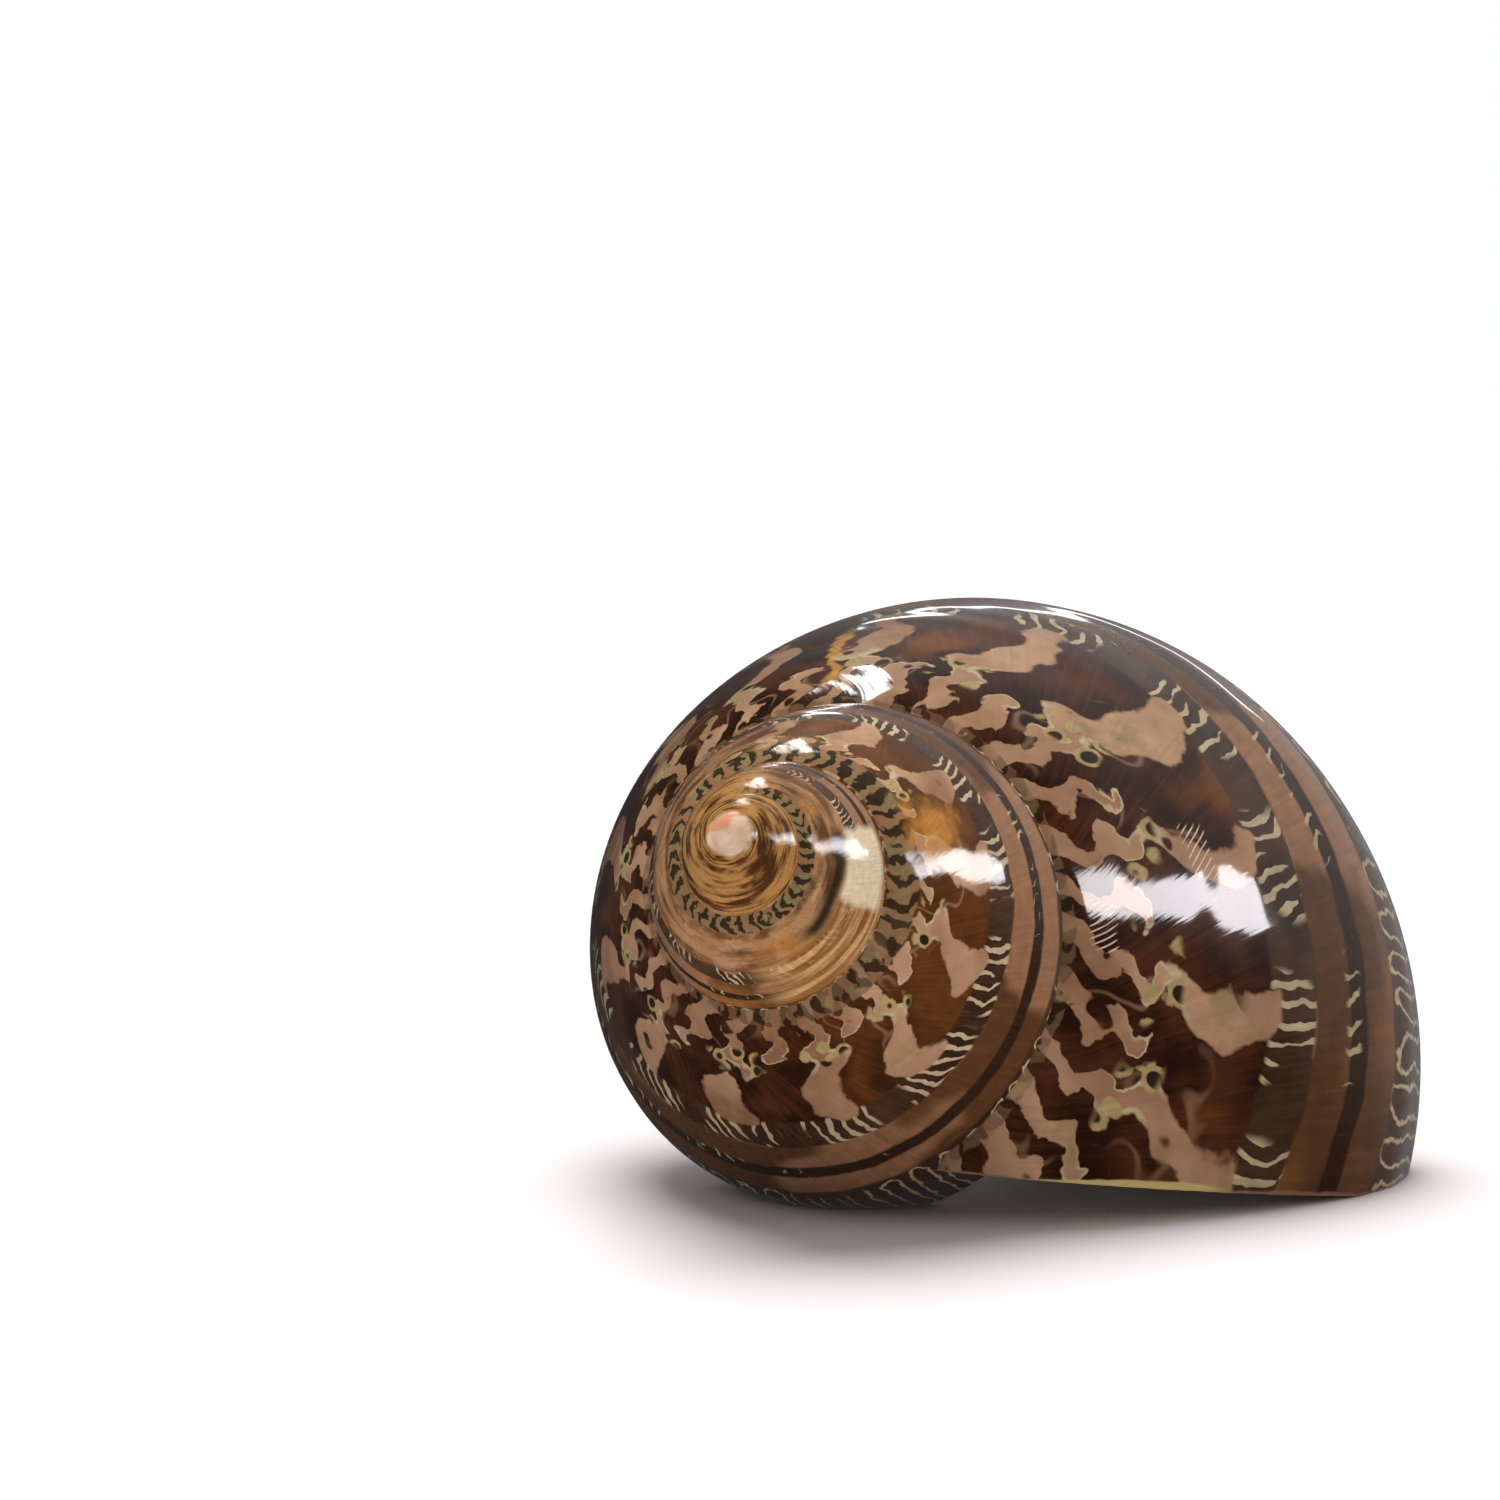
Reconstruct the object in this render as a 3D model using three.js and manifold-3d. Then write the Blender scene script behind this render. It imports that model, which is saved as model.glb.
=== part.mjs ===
// Polished turban shell, the shell of a large sea snail, grown as one piece.
// A tube coils clockwise about an axis, seen from the tip, and every whorl is WHORL_RATIO times as
// large as the one before it. The shell lies as it comes to rest, mouth down: its axis dips a little
// below the level from the tip (in front, left) to the base (behind, right). It touches the ground
// with the far half of its lip and with the bulge of the body whorl.
// Millimetres, +Z up, origin on the ground under the middle of the shell.
import * as THREE from 'three';
import { ParametricGeometry } from 'three/addons/geometries/ParametricGeometry.js';
import { mergeVertices } from 'three/addons/utils/BufferGeometryUtils.js';
import Module from 'manifold-3d';

const wasm = await Module();
wasm.setup();
const degrees = THREE.MathUtils.degToRad;

// Growth. Turn 0 is the corner where the lip leaves the suture; earlier turns are negative.
// Turns are in steps of 1 / PER_TURN, so that the rings of all tubes coincide.
const PER_TURN = 32;
const WHORL_RATIO = 2.066;
const FIRST_TURN = -4.375;
const LATE_TURN = -0.5; // from here on the tube is cut off along the lip
const END_TURN = 0.03125;
const WORN_TIP = 3.3; // the worn tip is rounded back by this much along the axis

// Outline of the tube at turn 0: radius from the axis and depth down the axis from the spiral's pole
const OUTLINE = [
  [16.1, 25.5], [20.6, 29.6], [25.5, 36.4], [28.9, 42.1], [32.4, 49.4], [33.9, 56.8], // flank
  [32.8, 62.9], [27.8, 67.0], [20.8, 68.1], [13.8, 67.2], [7.8, 64.2], [3.4, 59.5], // base
  [1.3, 52.5], [1.0, 41.6], [1.3, 29.9], // along the columella
  [4.7, 24.2], [10.9, 22.9], // buried in the whorl before
];

// Hollow at turn 0: an oval that leans outwards towards the base, with slightly square ends
const HOLLOW = { radius: 16.8, depth: 48.4, long: 17.1, short: 11.2, lean: degrees(61), squareness: 2.3 };
const HOLLOW_START = -1.375;
const HOLLOW_NARROWS = 0.03; // beyond this turn the hollow rounds off against the columella
const HOLLOW_END = 0.25;

// Columella: the solid pillar along the axis, and the callus round its foot
const PILLAR_SLOPE = 0.06; // radius over depth
const FOOT = { depth: 55, radius: 2.5 };
const CALLUS = { depth: 35, radius: 18 };

// How the shell lies: the direction of its axis from tip to base, and the place of the spiral's pole
const AXIS_HEADING = degrees(68.03); // from +X towards +Y
const AXIS_LEAN = degrees(109.19); // from straight up
const SPIN = degrees(-34.41); // about the axis
const POLE = new THREE.Vector3(-19.64, -28.18, 26.85); // its lowest points are worn flat by 0.1

// The near half of the lip lifts off the ground towards the suture: its height and its rise along X and Y
const LIP = { height: 1.97, riseX: -0.0894, riseY: -0.1005 };

const TWO_PI = 2 * Math.PI;
const growth = (turn) => WHORL_RATIO ** turn;
const wornDepth = (depth) => Math.hypot(depth, WORN_TIP);

const outlineCurve = new THREE.CatmullRomCurve3(
  OUTLINE.map(([radius, depth]) => new THREE.Vector3(radius, depth, 0)),
  true,
);
const tubeOutline = {
  facets: 2 * OUTLINE.length,
  middle: new THREE.Vector3(HOLLOW.radius, HOLLOW.depth, 0),
  point: (u) => outlineCurve.getPoint(u),
};
const hollowOutline = {
  facets: 28,
  middle: new THREE.Vector3(HOLLOW.radius, HOLLOW.depth, 0),
  point: (u) => {
    const power = 2 / HOLLOW.squareness;
    const bulge = (value) => Math.sign(value) * Math.abs(value) ** power;
    const along = HOLLOW.long * bulge(Math.cos(TWO_PI * u));
    const across = HOLLOW.short * bulge(Math.sin(TWO_PI * u));
    return new THREE.Vector3(
      HOLLOW.radius + along * Math.cos(HOLLOW.lean) - across * Math.sin(HOLLOW.lean),
      HOLLOW.depth + along * Math.sin(HOLLOW.lean) + across * Math.cos(HOLLOW.lean),
      0,
    );
  },
};

// A solid from a closed geometry, without the flat triangles where a ring closes to a point
function solidOf(geometry, closeness = 1e-5) {
  geometry.deleteAttribute('normal');
  geometry.deleteAttribute('uv');
  const merged = mergeVertices(geometry, closeness);
  const index = merged.index.array;
  const corners = [];
  for (let i = 0; i < index.length; i += 3) {
    const [a, b, c] = index.slice(i, i + 3);
    if (a !== b && b !== c && c !== a) corners.push(a, b, c);
  }
  return new wasm.Manifold(new wasm.Mesh({
    numProp: 3,
    vertProperties: merged.attributes.position.array,
    triVerts: new Uint32Array(corners),
  }));
}

function geometryOf(solid) {
  const { vertProperties, triVerts } = solid.getMesh();
  const geometry = new THREE.BufferGeometry();
  geometry.setAttribute('position', new THREE.BufferAttribute(vertProperties, 3));
  geometry.setIndex(new THREE.BufferAttribute(triVerts, 1));
  return geometry;
}

// Stretch of a coiled tube between two turns. Its first and last rings close to their middles.
function tube(outline, from, to, width = () => 1) {
  const rings = Math.round((to - from) * PER_TURN);
  const place = (u, v, target) => {
    const ring = Math.round(v * (rings + 2)) - 1;
    const turn = from + THREE.MathUtils.clamp(ring, 0, rings) / PER_TURN;
    const open = ring < 0 || ring > rings ? 0 : width(turn);
    const { x: radius, y: depth } = outline.middle.clone().lerp(outline.point(1 - u), open);
    const size = growth(turn);
    target.set(
      radius * size * Math.cos(TWO_PI * turn),
      radius * size * Math.sin(TWO_PI * turn),
      wornDepth(depth * size),
    );
  };
  return solidOf(new ParametricGeometry(place, outline.facets, rings + 2));
}

// A long tube, joined from stretches of under half a turn that stay clear of themselves
function coil(outline, from, to) {
  const stretches = [];
  for (let turn = from; turn < to; turn += 12 / PER_TURN) {
    stretches.push(tube(outline, turn, Math.min(turn + 12 / PER_TURN, to)));
  }
  return stretches.reduce((whole, stretch) => whole.add(stretch));
}

function columella() {
  const profile = [new THREE.Vector2(0, wornDepth(0))];
  for (const depth of [4, 10, 16]) {
    profile.push(new THREE.Vector2(PILLAR_SLOPE * depth, wornDepth(depth)));
  }
  profile.push(
    new THREE.Vector2(CALLUS.radius, CALLUS.depth),
    new THREE.Vector2(FOOT.radius, FOOT.depth - 0.6 * FOOT.radius),
    new THREE.Vector2(0, FOOT.depth),
  );
  const lathe = new THREE.LatheGeometry(profile, 24);
  lathe.rotateX(Math.PI / 2);
  return solidOf(lathe);
}

// The hollow of the last whorls, stopping short at the wall of the whorl before
function hollow() {
  const width = (turn) => {
    const past = Math.max(0, turn - HOLLOW_NARROWS) / (HOLLOW_END - HOLLOW_NARROWS);
    return Math.sqrt(1 - Math.min(past, 1) ** 2);
  };
  const stretches = [];
  for (let turn = HOLLOW_START; turn < HOLLOW_END; turn += 13 / PER_TURN) {
    const end = Math.min(turn + 13 / PER_TURN, HOLLOW_END);
    const whorlBefore = tube(tubeOutline, turn - 36 / PER_TURN, end - 28 / PER_TURN);
    const overlap = turn > HOLLOW_START ? 1 / PER_TURN : 0;
    stretches.push(tube(hollowOutline, turn - overlap, end, width).subtract(whorlBefore));
  }
  return stretches.reduce((whole, stretch) => whole.add(stretch));
}

// Everything below a plane that slopes by riseX and riseY, as one large block
function below({ height, riseX = 0, riseY = 0 }) {
  const size = 400;
  const block = new THREE.BoxGeometry(size, size, size);
  block.translate(0, 0, -size / 2);
  const normal = new THREE.Vector3(-riseX, -riseY, 1).normalize();
  block.applyQuaternion(new THREE.Quaternion().setFromUnitVectors(new THREE.Vector3(0, 0, 1), normal));
  block.translate(0, 0, height);
  return solidOf(block);
}

// From the shell's own frame, with its axis down +Z, to where it lies on the ground
const layDown = new THREE.Matrix4().makeTranslation(POLE)
  .multiply(new THREE.Matrix4().makeRotationZ(AXIS_HEADING))
  .multiply(new THREE.Matrix4().makeRotationY(AXIS_LEAN))
  .multiply(new THREE.Matrix4().makeRotationZ(SPIN));
const laid = (solid) => solid.transform(layDown.elements);

function turbanShell() {
  const underLip = below(LIP);
  const whole = laid(coil(tubeOutline, FIRST_TURN, LATE_TURN))
    .add(laid(coil(tubeOutline, LATE_TURN, END_TURN).add(columella())).subtract(underLip))
    .subtract(laid(hollow()))
    .subtract(below({ height: 0 }));
  // Points within a micrometre of each other are merged, and the flat slivers this pinches off dropped
  const pieces = solidOf(geometryOf(whole), 1e-3).decompose();
  return pieces.sort((a, b) => b.volume() - a.volume())[0];
}

const shell = new THREE.Mesh(
  geometryOf(turbanShell()),
  new THREE.MeshStandardMaterial({ color: 0x7a4a2a, roughness: 0.2, metalness: 0 }),
);
shell.name = 'shell';

const group = new THREE.Group();
group.add(shell);
export default group;
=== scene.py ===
"""Polished turban shell: a coiled, glossy sea-snail shell lying mouth down on a pale floor.

The shell is made the way it grows. Its skin is a grid: rows are steps of growth round the axis, and columns
run across the whorl, from the suture over the flank and the base to the foot of the columella. The hollow
is a second grid, carved out of the first. Growth is told in turns, which end near 0 at the lip. A place
across the whorl is 0 at its suture and 1 at the next one. Grids are worked out in millimetres, and their
meshes are in metres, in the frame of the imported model.
"""
import math
from types import SimpleNamespace

import bmesh
import bpy
import numpy as np
from mathutils import Matrix, Vector


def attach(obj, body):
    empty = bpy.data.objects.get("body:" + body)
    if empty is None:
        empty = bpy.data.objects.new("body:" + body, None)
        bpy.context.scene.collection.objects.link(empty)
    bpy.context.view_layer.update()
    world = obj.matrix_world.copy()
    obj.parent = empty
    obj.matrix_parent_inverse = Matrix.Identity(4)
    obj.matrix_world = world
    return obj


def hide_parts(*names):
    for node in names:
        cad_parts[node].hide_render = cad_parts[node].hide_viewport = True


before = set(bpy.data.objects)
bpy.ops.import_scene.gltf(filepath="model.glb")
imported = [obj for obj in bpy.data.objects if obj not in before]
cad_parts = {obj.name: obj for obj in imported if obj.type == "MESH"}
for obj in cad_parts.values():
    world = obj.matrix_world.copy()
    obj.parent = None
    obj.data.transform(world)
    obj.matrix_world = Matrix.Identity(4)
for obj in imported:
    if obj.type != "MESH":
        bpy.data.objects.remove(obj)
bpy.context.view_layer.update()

MM = 0.001
SLIVER = 1e-6  # metres; points nearer to each other are one

# ---------------------------------------------------------------- the tube, as it is at turn 0
WHORL_RATIO = 2.066  # every whorl is this many times as large as the one before
SUTURE = (16.14, 25.48)  # radius from the axis, and depth down it from the pole of the spiral
NEXT_SUTURE = (WHORL_RATIO * SUTURE[0], WHORL_RATIO * SUTURE[1])
FLANK = [(10.9, 22.9), SUTURE, (20.6, 29.6), (25.5, 36.4), (28.9, 42.1), (32.2, 49.0), NEXT_SUTURE]
BASE = [(33.9, 56.8), (32.8, 62.9), (27.8, 67.0), (20.8, 68.1), (13.8, 67.2), (7.8, 64.2), (3.4, 59.5),
        (1.3, 52.5), (0.0, 47.0)]
WORN_TIP = 3.3  # the worn tip is rounded back by this much along the axis

# The callus: a blunt cone round the foot of the columella, which the base runs out onto
CALLUS_TIP, CALLUS_BLUNT, CALLUS_SLOPE = 56.6, 2.0, 1.29
CALLUS_BLEND = 2.2
CALLUS_FROM, CALLUS_FADE = 1.05, 0.2  # places across the base

# The hollow: a slightly square oval, kept clear of the whorl before
HOLLOW_MIDDLE = (16.8, 48.4)
HOLLOW_LONG, HOLLOW_SHORT, HOLLOW_LEAN = 17.1, 11.2, math.radians(61)
HOLLOW_SQUARENESS = 2.3
HOLLOW_ROUNDING = 1.2  # of the edges where the oval meets the whorl before
INNER_LAYER = 0.5  # thickness of the glaze over the whorl before, inside the mouth
HOLLOW_FROM, HOLLOW_TO = -1.35, 0.25  # turns
HOLLOW_NARROWS = 0.03  # beyond this turn it rounds off against the columella

# ---------------------------------------------------------------- rows and columns
PER_TURN = 192
FIRST_STEP = round(-5.4 * PER_TURN)
LIP_STEP = 3  # where the lip leaves the suture
FIRST_BASE_STEP = LIP_STEP - PER_TURN  # the base of earlier whorls is covered
LIP_START = LIP_STEP / PER_TURN
LAST_TURN = 0.03125  # the foot of the lip ends here
FLANK_COLUMNS = 56
BASE_COLUMNS = 84
HOLLOW_PER_TURN = 120
HOLLOW_COLUMNS = 96

# ---------------------------------------------------------------- how the shell lies
POLE = Vector((-19.64, -28.18, 26.85))
AXIS_HEADING, AXIS_LEAN, SPIN = math.radians(68.03), math.radians(109.19), math.radians(-34.41)
LAID = np.array(Matrix.Translation(POLE) @ Matrix.Rotation(AXIS_HEADING, 4, "Z")
                @ Matrix.Rotation(AXIS_LEAN, 4, "Y") @ Matrix.Rotation(SPIN, 4, "Z"))

# The lip lies in a plane that lifts off the ground towards the suture
LIP_HEIGHT, LIP_RISE_X, LIP_RISE_Y = 1.97, -0.0894, -0.1005
LIP_SEARCH_FROM, LIP_SEARCH_STEPS = -0.45, 2000
LIP_FORMS = 0.55  # growth turns towards the lip's plane over this many turns
LIP_RADIUS = 30  # mean radius of the last whorl at the lip
LIP_SMOOTHING = 12  # passes that take the corners off the lip for the growth lines

# The land along the lip: how far in from the edge each row lies, and how far it is levelled with the plane
LAND = [0.0, 0.12, 0.45, 2.0]
LEVELLED = [0, 22 / 35, 1, 1]
LAND_CORNER = 14  # columns over which the land widens from each end
LAND_REACH = 2.5  # only what is this near to the plane is levelled
MOUTH_ROWS = 8  # the land's, and those across the mouth


def smooth_line(points, count=400):
    """A smooth line through points (radius, depth), as count places on every stretch, and the last."""
    points = np.array(points, float)
    before = 2 * points[0] - points[1]
    after = 2 * points[-1] - points[-2]
    p = np.vstack([before, points, after])
    t = np.linspace(0, 1, count, endpoint=False)[:, None]
    stretches = []
    for p0, p1, p2, p3 in zip(p, p[1:], p[2:], p[3:]):
        stretches.append(0.5 * (2 * p1 + (p2 - p0) * t + (2 * p0 - 5 * p1 + 4 * p2 - p3) * t**2
                                + (3 * p1 - p0 - 3 * p2 + p3) * t**3))
    return np.vstack(stretches + [points[-1:]])


outline = smooth_line(FLANK + BASE)
measure = np.concatenate([[0], np.cumsum(np.hypot(*np.diff(outline, axis=0).T))])


def measure_at(point):
    """How far along the outline it passes a point."""
    return measure[np.argmin(np.hypot(*(outline - point).T))]


ACROSS = (measure - measure_at(SUTURE)) / (measure_at(NEXT_SUTURE) - measure_at(SUTURE))


def laid(radius, depth, turn):
    """Points of the laid shell from radius, depth and turn, already grown."""
    depth = np.hypot(depth, WORN_TIP)
    angle = 2 * np.pi * turn
    local = np.stack([radius * np.cos(angle), radius * np.sin(angle), depth, np.ones_like(depth)], -1)
    return (local @ LAID.T)[..., :3]


def callus(radius):
    """Depth of the callus."""
    return CALLUS_TIP - CALLUS_SLOPE * np.sqrt(radius**2 + CALLUS_BLUNT**2)


def skin(turn, across):
    """Points of the outer skin."""
    turn, across = np.broadcast_arrays(turn, across)
    size = WHORL_RATIO ** turn
    radius = np.interp(across, ACROSS, outline[:, 0]) * size
    depth = np.interp(across, ACROSS, outline[:, 1]) * size
    gap = (depth - callus(radius)) / CALLUS_BLEND
    round_off = CALLUS_BLEND * np.logaddexp(0, -gap)
    fade = np.clip((across - CALLUS_FROM) / CALLUS_FADE, 0, 1)
    depth = np.where(across > CALLUS_FROM, depth + round_off * fade, depth)
    return laid(radius, depth, turn)


def height_over_lip(points):
    """Height over the lip's plane, or over the ground where that is higher."""
    plane = LIP_HEIGHT + LIP_RISE_X * points[..., 0] + LIP_RISE_Y * points[..., 1]
    return points[..., 2] - np.maximum(0, plane)


def lip_turn(across):
    """For each column, the turn where its growth meets the lip's plane or the ground."""
    turns = np.linspace(LIP_SEARCH_FROM, LAST_TURN, LIP_SEARCH_STEPS)
    under = height_over_lip(skin(turns[:, None], across[None, :])) < 0
    found = turns[np.where(under.any(0), under.argmax(0), len(turns) - 1)]
    found[0] = LIP_START
    return found


def smoothstep(low, high, value):
    """0 below low, 1 above high and smooth between them."""
    t = np.clip((value - low) / (high - low), 0, 1)
    return t * t * (3 - 2 * t)


flank_across = np.linspace(0, 1, FLANK_COLUMNS + 1)
base_across = np.linspace(1, ACROSS[-1], BASE_COLUMNS + 1)
all_across = np.concatenate([flank_across, base_across[1:]])
lip_at = lip_turn(all_across)

lip_shape = lip_at.copy()
for _ in range(LIP_SMOOTHING):
    lip_shape[1:-1] = (lip_shape[:-2] + lip_shape[1:-1] + lip_shape[2:]) / 3


# ---------------------------------------------------------------- the grids
PATTERN, MARGIN, NACRE = range(3)  # the shell's finishes, in the order of its material slots


def grid(columns, rows, place, finish=PATTERN):
    """A mesh grid. place(row, column) gives its points in millimetres and the pairs of its two UV maps."""
    shape = bmesh.new()
    bmesh.ops.create_grid(shape, x_segments=columns, y_segments=rows, size=0.5)
    mesh = bpy.data.meshes.new("grid")
    shape.to_mesh(mesh)
    shape.free()
    flat = np.empty(3 * len(mesh.vertices), np.float32)
    mesh.vertices.foreach_get("co", flat)
    flat = flat.reshape(-1, 3)
    column = np.rint((flat[:, 0] + 0.5) * columns).astype(int)
    row = np.rint((flat[:, 1] + 0.5) * rows).astype(int)
    points, coil_place, lip_place = place(row, column)
    mesh.vertices.foreach_set("co", (points * MM).astype(np.float32).ravel())
    corner = np.empty(len(mesh.loops), np.int32)
    mesh.loops.foreach_get("vertex_index", corner)
    for name, values in (("coil", coil_place), ("lip", lip_place)):
        layer = mesh.uv_layers.new(name=name)
        layer.uv.foreach_set("vector", np.stack(values, -1)[corner].astype(np.float32).ravel())
    mesh.polygons.foreach_set("material_index", np.full(len(mesh.polygons), finish, np.int32))
    return mesh


def skin_grid(first_step, columns):
    """The skin over a slice of the columns, from first_step to the lip."""
    across, lip, shape = all_across[columns], lip_at[columns], lip_shape[columns]

    def place(row, column):
        step = first_step + row
        late = smoothstep(-LIP_FORMS, 0, (step - LIP_STEP) / PER_TURN)
        turn = step / PER_TURN + late * (lip[column] - LIP_START)
        growth = turn - shape[column] + LIP_START
        before_lip = (lip[column] - turn) * 2 * np.pi * LIP_RADIUS
        return skin(turn, across[column]), (turn, across[column]), (growth, before_lip)

    return grid(len(across) - 1, LIP_STEP - first_step, place)


def mouth_grid():
    """The mouth closed over: a flat land along the lip, then straight across to the whorl before."""
    edge = skin(lip_at, all_across)
    far_side = skin(np.full_like(all_across, FIRST_BASE_STEP / PER_TURN), np.maximum(all_across, 1))
    middle = laid(*(np.array(HOLLOW_MIDDLE)[:, None] * WHORL_RATIO ** lip_at), lip_at)
    inwards = (middle - edge)[:, :2]
    inwards /= np.linalg.norm(inwards, axis=1)[:, None]
    from_corner = np.minimum(np.arange(len(edge)), np.arange(len(edge))[::-1])
    land_rows = len(LAND)

    def place(row, column):
        land_width = smoothstep(0, LAND_CORNER, from_corner[column])
        inset = np.interp(row, range(land_rows), LAND) * land_width
        land = edge[column].copy()
        land[:, :2] += inwards[column] * inset[:, None]
        over = height_over_lip(land)
        level = np.interp(row, range(land_rows), LEVELLED)
        levelled = land[:, 2] * (1 - level) + (land[:, 2] - over) * level
        land[:, 2] = np.where(over < LAND_REACH, levelled, land[:, 2])
        across_mouth = np.clip((row - land_rows + 1) / (MOUTH_ROWS - land_rows + 1), 0, 1)[:, None]
        points = land * (1 - across_mouth) + far_side[column] * across_mouth
        return points, (lip_at[column], all_across[column]), (LIP_START + 0 * inset, 0 * inset)

    return grid(len(all_across) - 1, MOUTH_ROWS, place, finish=MARGIN)


def hollow_reach():
    """How far the hollow reaches from its middle, at turn 0, for each direction across the tube."""
    direction = np.linspace(0, 2 * np.pi, HOLLOW_COLUMNS + 1)
    along = np.abs(np.cos(direction - HOLLOW_LEAN) / HOLLOW_LONG)
    aside = np.abs(np.sin(direction - HOLLOW_LEAN) / HOLLOW_SHORT)
    oval = (along ** HOLLOW_SQUARENESS + aside ** HOLLOW_SQUARENESS) ** (-1 / HOLLOW_SQUARENESS)
    whorl_before = outline / WHORL_RATIO - HOLLOW_MIDDLE
    angle = np.arctan2(whorl_before[:, 1], whorl_before[:, 0])
    away = np.hypot(*whorl_before.T)
    turned = np.abs((direction[:, None] - angle[None] + np.pi) % (2 * np.pi) - np.pi)
    one_column = 1.2 * np.pi / HOLLOW_COLUMNS  # a little over half of one, to either side
    nothing_there = 99  # farther than any wall
    wall = np.where(turned < one_column, away[None], nothing_there).min(1) - INNER_LAYER
    reach = -HOLLOW_ROUNDING * np.log(np.exp(-oval / HOLLOW_ROUNDING) + np.exp(-wall / HOLLOW_ROUNDING))
    reach[-1] = reach[0]
    return direction, reach


def hollow_grid():
    """The hollow, from the second whorl to just past the lip."""
    direction, reach = hollow_reach()

    def place(row, column):
        turn = HOLLOW_FROM + row / HOLLOW_PER_TURN
        past = np.clip((turn - HOLLOW_NARROWS) / (HOLLOW_TO - HOLLOW_NARROWS), 0, 1)
        open_by = np.sqrt(1 - past**2) * reach[column]
        size = WHORL_RATIO ** turn
        radius = (HOLLOW_MIDDLE[0] + open_by * np.cos(direction[column])) * size
        depth = (HOLLOW_MIDDLE[1] + open_by * np.sin(direction[column])) * size
        return laid(radius, depth, turn), (turn, column / HOLLOW_COLUMNS), (turn, 0 * turn)

    return grid(HOLLOW_COLUMNS, round((HOLLOW_TO - HOLLOW_FROM) * HOLLOW_PER_TURN), place, finish=NACRE)


def welded(name, meshes, on_ground=False):
    """One closed body from grids that meet. On the ground, nothing of it reaches below 0."""
    body = bmesh.new()
    for mesh in meshes:
        body.from_mesh(mesh)
        bpy.data.meshes.remove(mesh)
    bmesh.ops.remove_doubles(body, verts=body.verts, dist=SLIVER)
    bmesh.ops.dissolve_degenerate(body, edges=body.edges, dist=SLIVER)
    open_edges = [edge for edge in body.edges if edge.is_boundary]
    ends = bmesh.ops.holes_fill(body, edges=open_edges, sides=0)["faces"]
    bmesh.ops.poke(body, faces=ends)
    bmesh.ops.recalc_face_normals(body, faces=body.faces)
    for face in body.faces:
        face.smooth = True
    if on_ground:
        for vertex in body.verts:
            vertex.co.z = max(vertex.co.z, 0)
    mesh = bpy.data.meshes.new(name)
    body.to_mesh(mesh)
    body.free()
    thing = bpy.data.objects.new(name, mesh)
    bpy.context.scene.collection.objects.link(thing)
    return thing


def carve(body, hollow):
    """Cuts the hollow out of the body, and clears away the slivers that the cut leaves."""
    cut = body.modifiers.new("carve", "BOOLEAN")
    cut.operation = "DIFFERENCE"
    cut.solver = "EXACT"
    cut.object = hollow
    bpy.context.view_layer.update()
    mesh = bpy.data.meshes.new_from_object(body.evaluated_get(bpy.context.evaluated_depsgraph_get()))
    body.modifiers.clear()
    body.data = mesh
    bpy.data.objects.remove(hollow)
    clean = bmesh.new()
    clean.from_mesh(mesh)
    bmesh.ops.remove_doubles(clean, verts=clean.verts, dist=SLIVER)
    bmesh.ops.dissolve_degenerate(clean, edges=clean.edges, dist=SLIVER)
    bmesh.ops.dissolve_verts(clean, verts=[vertex for vertex in clean.verts if len(vertex.link_edges) == 2])
    clean.to_mesh(mesh)
    clean.free()


# ---------------------------------------------------------------- colours
def shade(red, green, blue):
    """A colour from its screen values, 0 to 255."""
    def linear(v):
        v /= 255
        return v / 12.92 if v <= 0.04045 else ((v + 0.055) / 1.055) ** 2.4
    return (linear(red), linear(green), linear(blue), 1.0)


CHESTNUT = shade(78, 43, 23)
DEEP_CHESTNUT = shade(42, 21, 10)
AMBER = shade(122, 76, 28)
GLOWING_AMBER = shade(196, 140, 66)
PINK_BEIGE = shade(181, 149, 123)
TAN = shade(138, 104, 80)
CREAM = shade(188, 177, 148)
BONE = shade(182, 172, 146)
BRIGHT_CREAM = shade(214, 206, 182)
MOSS = shade(140, 128, 92)
OLIVE = shade(126, 114, 84)
EYE_RING = shade(170, 154, 112)
CHARCOAL = shade(80, 59, 43)
DEEP_CHARCOAL = shade(50, 34, 22)
GREEN_BLACK = shade(50, 42, 28)
ROSY = shade(142, 108, 82)
BROWN = shade(88, 60, 36)
UMBER = shade(98, 66, 40)
FAWN = shade(172, 136, 100)
OCHRE = shade(166, 116, 60)
BRONZE = shade(72, 46, 22)
STRAW = shade(168, 128, 76)
GOLD = shade(158, 108, 56)
BRIGHT_GOLD = shade(200, 150, 75)
OLD_GOLD = shade(134, 94, 52)
PALE_GOLD = shade(200, 166, 116)
WORN = shade(216, 198, 182)
WORN_SHADE = shade(190, 168, 146)
STAIN = shade(206, 140, 108)
# Colours of the scratched lines, painted light: a pale glint, and shade inside a highlight.
SCRATCH_GLINT = shade(226, 212, 200)
SCRATCH_SHADE = shade(66, 56, 54)
LIP_YELLOW = shade(196, 178, 114)
PEARL_PINK = shade(226, 208, 206)
PEARL_GREEN = shade(206, 220, 204)
PEARL_WHITE = shade(236, 232, 220)
POLISH = (1.16, 1.06, 0.92)  # it lets through more red than blue


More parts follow.
